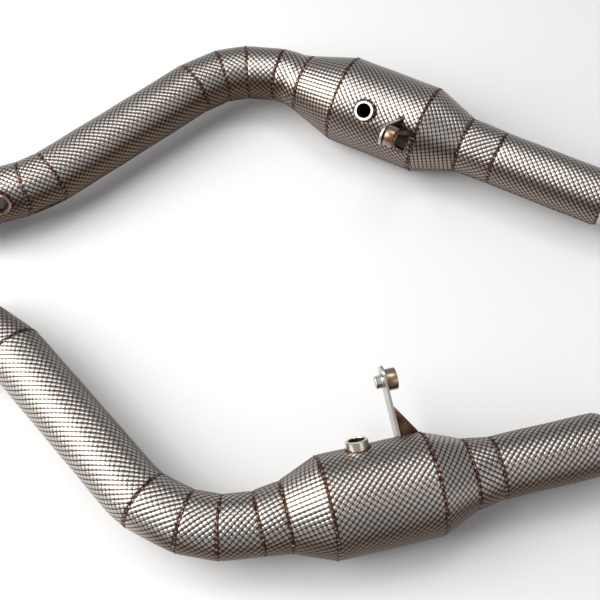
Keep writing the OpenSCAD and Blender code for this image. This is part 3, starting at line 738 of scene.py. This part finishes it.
def foil_cone(name, pipe, t0, t1, node, turn=0.0, gap=0.25):
    """A cone's piece, cut as a fan from the flat sheet, with its edges at the seam side."""
    t0, t1 = t0 + gap, t1 - gap
    r0, r1 = float(pipe.foil_r(t0)), float(pipe.foil_r(t1))
    slant = math.hypot(t1 - t0, r1 - r0)
    sine = abs(r1 - r0) / slant
    near_edge, far_edge = min(r0, r1) / sine, max(r0, r1) / sine
    half_fan = math.pi * sine
    x_low = near_edge * math.cos(half_fan)
    y_high = far_edge * math.sin(min(half_fan, math.pi / 2))
    width = 2 * math.pi * (r0 + r1) / 2
    turned = math.radians(45) + turn
    reach = math.hypot(far_edge - x_low, 2 * y_high)
    sheet = flat_sheet(name, PILLOW, reach + 4 * PILLOW)
    co = vertices(sheet.data)
    x = co[:, 0] * math.cos(turned) - co[:, 1] * math.sin(turned) + (x_low + far_edge) / 2
    y = co[:, 0] * math.sin(turned) + co[:, 1] * math.cos(turned)
    co[:, 0], co[:, 1] = x, y
    set_vertices(sheet.data, co)
    trim(sheet, 0, max(x_low - 2 * PILLOW, 2.0), far_edge + 2 * PILLOW)
    trim(sheet, 1, -y_high - 2 * PILLOW, y_high + 2 * PILLOW)
    co = vertices(sheet.data)
    rho, psi = np.hypot(co[:, 0], co[:, 1]), np.arctan2(co[:, 1], co[:, 0])
    cosine = (t1 - t0) / slant
    if r1 > r0:
        co[:, 0] = t0 + (rho - near_edge) * cosine
    else:
        co[:, 0] = t0 + (far_edge - rho) * cosine
    co[:, 1] = (psi / sine + math.pi) * width / (2 * math.pi)
    set_vertices(sheet.data, co)
    trim(sheet, 0, t0, t1)
    trim(sheet, 1, 0, width)
    roll_on(sheet, pipe, t0, t1, width, (), closed=False)
    return place_on(sheet, pipe.name + "_pipe", "embossed_foil", FOIL, node)


# %% [markdown]
# The openings in the foil: one round each bung, one slot for the bracket's plate, one
# for its gusset, and a window beside them where the fitter left the shell bare. The shell's
# near-black colour in that window is partly painted shade.

# %% Foil pieces of both pipes
BUNG_HOLE = 13.6
BUNG_STATION = -13.0
BRACKET_STATION = 34.0
INLET_BUNG_AT = 32.0
INLET_BUNG_TILT = math.radians(-55)
REAR_CONE_TURN = math.pi / 4 + 0.42


def inlet_hole(pipe, size=BUNG_HOLE):
    """The opening for the far pipe's second bung, on its neck."""
    return RoundHole(pipe.neck_at - INLET_BUNG_AT, INLET_BUNG_TILT, TUBE_R + COVER, size)


def cat_holes(pipe):
    r = SHELL_R + COVER
    bung, plate = math.radians(-pipe.bung), math.radians(-pipe.bracket)
    return [
        RoundHole(BUNG_STATION, bung, r, BUNG_HOLE),
        SlotHole(BRACKET_STATION - 0.6, BRACKET_STATION + 3.6, plate - 0.25, plate + 0.25, r),
        SlotHole(BRACKET_STATION + 2, HALF_SHELL + 1, plate - 0.04, plate + 0.04, r),
        SlotHole(BRACKET_STATION + 2, BRACKET_STATION + 18, plate - 0.5, plate + 0.02, r)]


def gore_stations(pipe):
    return [-pipe.bend_at - g * pipe.bend_r * pipe.bend_rad for g in pipe.gores]


foils = []
for pipe in PIPES.values():
    who, gores, cone_at = pipe.name, gore_stations(pipe), -HALF_SHELL - pipe.cone_in
    neck_node = who + "_foil_inlet_end"
    turn_node = "far_foil_inlet_turn" if who == "far" else neck_node
    neck_holes = []
    if who == "far":
        neck_holes.append(inlet_hole(pipe))
    foils.append(foil_sleeve(who + "_foil_neck", pipe, pipe.wrap_in, pipe.neck_at,
                             neck_node, neck_holes))
    foils.append(foil_sleeve(who + "_foil_turn", pipe, pipe.neck_at, pipe.turn_at,
                             turn_node, gore=True))
    foils.append(foil_sleeve(who + "_foil_straight", pipe, pipe.turn_at, gores[3],
                             who + "_foil_inlet_long", pivot=pipe.inlet_at))
    for i in range(3):
        foils.append(foil_sleeve(f"{who}_foil_gore_{i + 1}", pipe, gores[i + 1], gores[i],
                                 who + "_foil_bend_gores", gore=True))
    if who == "near":
        foils.append(foil_cone("near_foil_taper", pipe, -pipe.bend_at, cone_at,
                               "near_foil_inlet_cone", turn=0.35))
    else:
        foils.append(foil_sleeve("far_foil_taper", pipe, gores[0], cone_at,
                                 "far_foil_inlet_cone", pivot=-pipe.bend_at))
    foils.append(foil_cone(who + "_foil_cone", pipe, cone_at, -HALF_SHELL,
                           who + "_foil_inlet_cone", turn=0.3))
    foils.append(foil_sleeve(who + "_foil_converter", pipe, -HALF_SHELL, HALF_SHELL,
                             who + "_foil_cat", cat_holes(pipe)))
    foils.append(foil_cone(who + "_foil_rear_cone", pipe, HALF_SHELL,
                           HALF_SHELL + pipe.cone_out, who + "_foil_outlet_cone",
                           turn=REAR_CONE_TURN))
    foils.append(foil_cone(who + "_foil_rear_taper", pipe, HALF_SHELL + pipe.cone_out,
                           pipe.out_at, who + "_foil_outlet_cone"))
    foils.append(foil_sleeve(who + "_foil_outlet", pipe, pipe.out_at, pipe.wrap_out,
                             who + "_foil_outlet_long"))
for foil in foils:
    print(foil.name, len(foil.data.polygons), "faces")

# %% [markdown]
# ## The wool under the foil
#
# A soft layer keeps the foil off the hot steel. It shows only through the openings, so
# one swept sheet per pipe is enough: a flat grid moved onto the pipe like the foil, with
# the same holes, lumpy, and just under the foil's deepest groove.


# %% The wool
WOOL_HOLE = 14.5


def patch(name, t_list, across):
    """A flat grid: x is the number of the station, y the number of the turn."""
    deselect()
    bpy.ops.mesh.primitive_grid_add(
        x_subdivisions=len(t_list) - 1, y_subdivisions=across, size=2)
    obj = bpy.context.object
    obj.name = obj.data.name = name
    co = vertices(obj.data)
    x = (co[:, 0] + 1) / 2 * (len(t_list) - 1)
    y = (co[:, 1] + 1) / 2
    return obj, np.interp(x, np.arange(len(t_list)), t_list), y


def wool_sheet(pipe):
    t_list = np.arange(pipe.wrap_in + 3, pipe.wrap_out - 3, 3.0)
    obj, t, y = patch(pipe.name + "_wool", t_list, 110)
    width = 2 * math.pi * (SHELL_R + COVER)
    co = vertices(obj.data)
    co[:, 0], co[:, 1], co[:, 2] = t, y * width, 0
    set_vertices(obj.data, co)
    holes = [RoundHole(BUNG_STATION, math.radians(-pipe.bung), SHELL_R + COVER, WOOL_HOLE)]
    holes += cat_holes(pipe)[1:]
    if pipe.name == "far":
        holes.append(inlet_hole(pipe, WOOL_HOLE))
    cut_holes(obj, holes, width)
    co = vertices(obj.data)
    t, theta = co[:, 0], SEAM_SIDE + co[:, 1] / width * 2 * math.pi
    lumps = 0.12 * np.sin(7 * theta + t / 5) * np.sin(t / 3.1 + 3 * theta)
    in_bend = (t > pipe.inlet_at - 2) & (t < -pipe.bend_at + 2)
    in_turn = (t > pipe.neck_at - 2) & (t < pipe.turn_at + 2)
    thin = np.where(in_bend | in_turn, 3.3, 2.45)
    set_vertices(obj.data, pipe.point(t, theta, pipe.foil_r(t) - thin + lumps))
    face = obj.data.polygons[len(obj.data.polygons) // 2]
    finish_sheet(obj, pipe.section(t[face.vertices[0]])[0] * MM, 0.0004, 60, True)
    return place_on(obj, pipe.name + "_pipe", "insulation", WOOL, pipe.name + "_wrap")


for pipe in PIPES.values():
    print(pipe.name, "wool:", len(wool_sheet(pipe).data.polygons), "faces")

# %% [markdown]
# ## Tacked seams
#
# Where two pieces of foil meet, the fitter crimps them and runs a chain of small tacks
# along the joint. The joint ends up as a dark, ragged bead with paler, pinkish blobs. A
# curve with a round bevel looks like a hose, so each bead is a narrow grid wrapped round
# its path, with an uneven width, an uneven height and a swelling at each tack.


# %% One bead
def rough(rng, count, steps, closed):
    """Smooth random numbers of about -1 to 1 along a path."""
    knots = rng.uniform(-1, 1, max(int(steps), 3))
    if closed:
        knots[-1] = knots[0]
    return np.interp(np.linspace(0, len(knots) - 1, count), np.arange(len(knots)), knots)


def bead(name, pipe, t_path, theta_path, closed=False, half_width=1.5, height=0.8,
         seed=1, sink=1.1):
    rng = np.random.default_rng(seed)
    radius = pipe.foil_r(t_path)
    s_path = theta_path * radius
    length = np.hypot(np.diff(t_path), np.diff(s_path)).sum()
    count = max(int(length / 1.3), 12)
    share = np.linspace(0, 1, count)
    step = np.r_[0, np.cumsum(np.hypot(np.diff(t_path), np.diff(s_path)))] / length
    sway = (0.8 * rough(rng, count, length / 8, closed)
            + 0.4 * rough(rng, count, length / 2.2, closed))
    t = np.interp(share, step, t_path)
    theta = np.interp(share, step, theta_path)
    base = pipe.foil_r(t)
    dt, ds = np.gradient(t), np.gradient(theta) * base
    norm = np.hypot(dt, ds)
    nt, ns = -ds / norm, dt / norm
    tacks = np.zeros(count)
    place = rng.uniform(2, 6)
    while place < length - 2:
        tacks = np.maximum(tacks, rng.uniform(0.55, 1) * np.exp(
            -((share * length - place) / rng.uniform(1.0, 1.7)) ** 2))
        place += rng.uniform(4.5, 10)
    if closed:
        tacks[0] = tacks[-1] = 0
    ragged = rough(rng, count, length / 1.6, closed)
    wide = half_width * (0.56 + 0.42 * ragged + 0.5 * tacks)
    tall = height * (0.75 + 0.25 * ragged + 0.55 * tacks)
    deselect()
    bpy.ops.mesh.primitive_grid_add(x_subdivisions=count - 1, y_subdivisions=8, size=2)
    obj = bpy.context.object
    obj.name = obj.data.name = name
    co = vertices(obj.data)
    i = np.rint((co[:, 0] + 1) / 2 * (count - 1)).astype(int)
    v = (co[:, 1] + 1) * math.pi
    side = (np.cos(v) * wide[i] + sway[i])
    r = base[i] - sink + np.sin(v) * tall[i]
    angle = theta[i] + ns[i] * side / base[i]
    set_vertices(obj.data, pipe.point(t[i] + nt[i] * side, angle, r))
    obj.data.attributes.new("tack", "FLOAT", "POINT").data.foreach_set(
        "value", tacks[i] * (0.6 + 0.4 * np.sin(v)))
    steps = [(bpy.ops.mesh.remove_doubles, dict(threshold=0.00002))]
    if not closed:
        steps.append((bpy.ops.mesh.fill_holes, dict(sides=0)))
    steps.append((bpy.ops.mesh.select_all, dict(action="SELECT")))
    steps.append((bpy.ops.mesh.normals_make_consistent, dict(inside=False)))
    edit(obj, *steps)
    use(obj)
    bpy.ops.object.shade_smooth_by_angle(angle=math.radians(70))
    return place_on(obj, pipe.name + "_pipe", "embossed_foil", SEAM)


# %% All the seams
TURN = np.linspace(0, 2 * math.pi, 181)


def ring_seam(name, pipe, station, seed, **size):
    return bead(name, pipe, np.full(181, float(station)), SEAM_SIDE + TURN, True, seed=seed, **size)


def round_seam(name, pipe, hole, seed):
    theta = hole.theta + np.arcsin((hole.hole + 0.6) * np.sin(TURN) / hole.r)
    return bead(name, pipe, hole.station + (hole.hole + 0.6) * np.cos(TURN), theta, True,
                half_width=1.3, height=0.9, seed=seed)


seams = []
for number, pipe in enumerate(PIPES.values()):
    who, gores, seed = pipe.name, gore_stations(pipe), 100 * number
    rings = {
        "turn": pipe.turn_at, "gore_1": gores[3], "gore_2": gores[2], "gore_3": gores[1],
        "gore_4": gores[0], "taper": -HALF_SHELL - pipe.cone_in, "cone": -HALF_SHELL,
        "rear_cone": HALF_SHELL, "rear_taper": HALF_SHELL + pipe.cone_out,
        "outlet": pipe.out_at, "neck": pipe.neck_at}
    for key, station in rings.items():
        seed += 1
        seams.append(ring_seam(f"{who}_seam_{key}", pipe, station, seed))
    for key, station in (("inlet_hem", pipe.wrap_in + 0.8), ("outlet_hem", pipe.wrap_out - 0.8)):
        seed += 1
        seams.append(ring_seam(f"{who}_{key}", pipe, station, seed, sink=1.3, half_width=1.1))
    along = np.linspace(pipe.wrap_in + 1, pipe.wrap_out - 1, 400)
    seams.append(bead(who + "_seam_long", pipe, along, np.full(400, SEAM_SIDE), seed=seed + 20))
    holes = cat_holes(pipe)
    seams.append(round_seam(who + "_seam_bung", pipe, holes[0], seed + 21))
    if who == "far":
        seams.append(round_seam("far_seam_inlet_bung", pipe, inlet_hole(pipe), 222))
    plate = math.radians(-pipe.bracket)
    corners = [(BRACKET_STATION - 0.9, plate + 0.26), (BRACKET_STATION - 0.9, plate - 0.5),
               (BRACKET_STATION + 18.6, plate - 0.51), (BRACKET_STATION + 18.6, plate - 0.06),
               (HALF_SHELL - 0.5, plate - 0.06), (HALF_SHELL - 0.5, plate + 0.06),
               (BRACKET_STATION + 5, plate + 0.06), (BRACKET_STATION + 5, plate + 0.26),
               (BRACKET_STATION - 0.9, plate + 0.26)]
    t_path = np.concatenate([np.linspace(a[0], b[0], 12) for a, b in zip(corners, corners[1:])])
    s_path = np.concatenate([np.linspace(a[1], b[1], 12) for a, b in zip(corners, corners[1:])])
    keep = np.r_[True, np.hypot(np.diff(t_path), np.diff(s_path)) > 1e-9]
    seams.append(bead(who + "_seam_window", pipe, t_path[keep], s_path[keep], True,
                      seed=seed + 22, half_width=1.3))
print("seams:", len(seams), "faces:", sum(len(o.data.polygons) for o in seams))

# %% [markdown]
# ## Sensor bungs
#
# A bung is turned from bar: a thick ring with broken edges, a countersunk mouth and an
# internal thread. A cylinder with a hole would do from afar, but the sensor hole is the
# first thing one looks into, so its section is drawn as a closed outline and spun round.
# The thread is cut as plain grooves at its pitch, which looks the same at this size.


# %% Turned pieces
def turned(name, outline, matrix, steps=64):
    """Spins a closed outline of (radius, height) points, in mm, round the height axis."""
    deselect()
    bpy.ops.mesh.primitive_circle_add(vertices=len(outline), radius=1)
    obj = bpy.context.object
    obj.name = obj.data.name = name
    set_vertices(obj.data, np.array([(r, 0, z) for r, z in outline]) * MM)
    edit(obj,
         (bpy.ops.mesh.spin, dict(steps=steps, angle=2 * math.pi, center=(0, 0, 0),
                                  axis=(0, 0, 1))),
         (bpy.ops.mesh.select_all, dict(action="SELECT")),
         (bpy.ops.mesh.remove_doubles, dict(threshold=0.00001)),
         (bpy.ops.mesh.normals_make_consistent, dict(inside=False)))
    obj.data.transform(matrix)
    obj.data.update()
    use(obj)
    bpy.ops.object.shade_smooth_by_angle(angle=math.radians(32))
    return obj


def stand_on(pipe, station, theta):
    """A frame on the pipe's centreline at a station, with its Z out at an angle."""
    centre, flow, outer = pipe.section(station)
    out = math.cos(theta) * pipe.up + math.sin(theta) * outer
    across = np.cross(out, flow)
    columns = [Vector(flow), Vector(across), Vector(out)]
    matrix = Matrix([[c[i] for c in columns] + [centre[i] * MM] for i in range(3)]
                    + [[0, 0, 0, 1]])
    return matrix


THREAD_REACH = 9.3


def bung_outline(foot, top):
    bore, outside, pitch = 8.5, 12.7, 1.5
    outline = [(outside - 0.8, top), (outside, top - 0.8), (outside, foot)]
    z = foot
    while z + pitch < top - 1.6:
        outline += [(bore, z), (bore + 0.75, z + pitch / 2)]
        z += pitch
    outline += [(bore, z), (bore, top - 1.8), (bore + 0.9, top - 0.5), (bore + 1.2, top)]
    return outline


def weld(name, pipe, station, theta, ring, foot, seed, spots=30):
    """A ring of weld: a lumpy torus round a bung, following the round surface it sits on."""
    deselect()
    bpy.ops.mesh.primitive_torus_add(major_radius=1.0, minor_radius=0.1,
                                     major_segments=120, minor_segments=8)
    obj = bpy.context.object
    obj.name = obj.data.name = name
    co = vertices(obj.data)
    angle = np.arctan2(co[:, 1], co[:, 0])
    reach = np.hypot(co[:, 0], co[:, 1]) - 1.0
    rng = np.random.default_rng(seed)
    lump = 1 + 0.16 * np.abs(np.sin(angle * spots / 2)) + 0.07 * np.interp(
        angle, np.linspace(-math.pi, math.pi, 41), rng.uniform(-1, 1, 41))
    radial = ring + reach * 14 * lump
    x, y = radial * np.cos(angle), radial * np.sin(angle)
    drop = foot - np.sqrt(np.maximum(foot ** 2 - y ** 2, 0))
    co = np.stack([x, y, foot - drop + co[:, 2] * 16 * lump], axis=1) * MM
    set_vertices(obj.data, co)
    obj.data.transform(stand_on(pipe, station, theta))
    use(obj)
    bpy.ops.object.shade_smooth_by_angle(angle=math.radians(60))
    return place_on(obj, pipe.name + "_pipe", "bung_steel", WELD)


WELD = steel_material("weld_bead", (0.30, 0.22, 0.17), 0.4, 0.5, 0.3, 600.0, 0.4)
for pipe in PIPES.values():
    who = pipe.name
    places = [("cat_bung", BUNG_STATION, math.radians(-pipe.bung), SHELL_R)]
    if who == "far":
        places.append(("inlet_bung", pipe.neck_at - INLET_BUNG_AT, INLET_BUNG_TILT, TUBE_R))
    for part, station, theta, radius in places:
        finish = BUNG if part == "cat_bung" else BOSS
        outline = bung_outline(radius - 1.2, radius + 12.5)
        ring = turned(f"{who}_{part}_threaded", outline, stand_on(pipe, station, theta))
        place_on(ring, who + "_pipe", "bung_steel", finish, f"{who}_{part}")
        # The thread's faces take the near-black painted shade of the hole.
        ring.data.materials.append(BORE_SHADE)
        turn_back = stand_on(pipe, station, theta).inverted()
        for face in ring.data.polygons:
            at = turn_back @ face.center
            if math.hypot(at.x, at.y) < THREAD_REACH * MM:
                face.material_index = 1
        weld(f"{who}_{part}_weld", pipe, station, theta, 13.0, radius,
             seed=300 + int(-station))
        print(ring.name, len(ring.data.polygons), "faces")

# %% [markdown]
# ## Hard edges get broken
#
# A real plate or nut never has a perfectly sharp edge, and the thin bright line along a
# broken edge is what makes metal look like metal. The CAD parts come as loose triangles,
# so a copy is merged, its flat faces are joined up again, and its edges are bevelled.


# %% Bevelled copies of the CAD hardware
def broken_edges(node_name, width, body, slot, material, segments=2):
    node = nodes[node_name]
    deselect()
    obj = bpy.data.objects.new(node_name + "_finished", node.data.copy())
    bpy.context.scene.collection.objects.link(obj)
    edit(obj,
         (bpy.ops.mesh.remove_doubles, dict(threshold=0.000004)),
         (bpy.ops.mesh.dissolve_limited, dict(angle_limit=math.radians(1.5))),
         (bpy.ops.mesh.select_all, dict(action="SELECT")))
    apply_modifier(obj, "BEVEL", width=width * MM, segments=segments, limit_method="ANGLE",
                   angle_limit=math.radians(50), harden_normals=False,
                   use_clamp_overlap=True)
    use(obj)
    bpy.ops.object.shade_smooth_by_angle(angle=math.radians(35))
    return place_on(obj, body, slot, material, node_name)


def edge_faces(obj, direction, other):
    """Gives a second finish to the faces that don't look in a direction."""
    obj.data.materials.append(other)
    for face in obj.data.polygons:
        if face.normal.dot(Vector(direction)) < 0.7:
            face.material_index = 1


for pipe in PIPES.values():
    who = pipe.name
    body = who + "_pipe"
    plate = broken_edges(who + "_bracket_plate", 0.35, body, "bracket_steel", BRACKET)
    edge_faces(plate, pipe.along, PLATE_EDGE)
    broken_edges(who + "_bracket_gusset", 0.3, body, "bracket_steel", BRACKET)
    broken_edges(who + "_bracket_boss", 0.5, body, "bracket_steel", BOSS)
    clamp = who + "_clamp"
    for part in ("front_band", "rear_band", "link"):
        broken_edges(f"{clamp}_{part}", 0.25, clamp, "clamp_steel", CLAMP)
    broken_edges(who + "_t_bolt_nut", 0.4, who + "_t_bolt_set", "nut_plate", NUT)
broken_edges("near_hanger_bolt", 0.4, "near_bolt", "bolt_steel", BOLT)

# %% The other CAD nodes get their finishes
FINISHES = {"cat_shell": SHELL_AND_WINDOW_SHADE, "inlet_cone": SHELL_AND_WINDOW_SHADE, "outlet_cone": SHELL_AND_WINDOW_SHADE, "t_bolt": CLAMP,
            "cat_bricks": BRICK, "cat_mats": MAT}
for name, node in nodes.items():
    node.data.materials.clear()
    node.data.materials.append(FINISHES.get(name.split("_", 1)[1], TUBE))
bpy.data.objects.remove(pillow_tile)

# %% Floor
bpy.ops.mesh.primitive_plane_add(size=12, location=(0, 0, -0.0005))
floor = bpy.context.object
floor.name = "floor"
floor_material, _, floor_shader = new_tree("pale_floor")
floor_shader.inputs["Base Color"].default_value = (0.70, 0.70, 0.70, 1)
floor_shader.inputs["Roughness"].default_value = 0.8
floor.data.materials.append(floor_material)
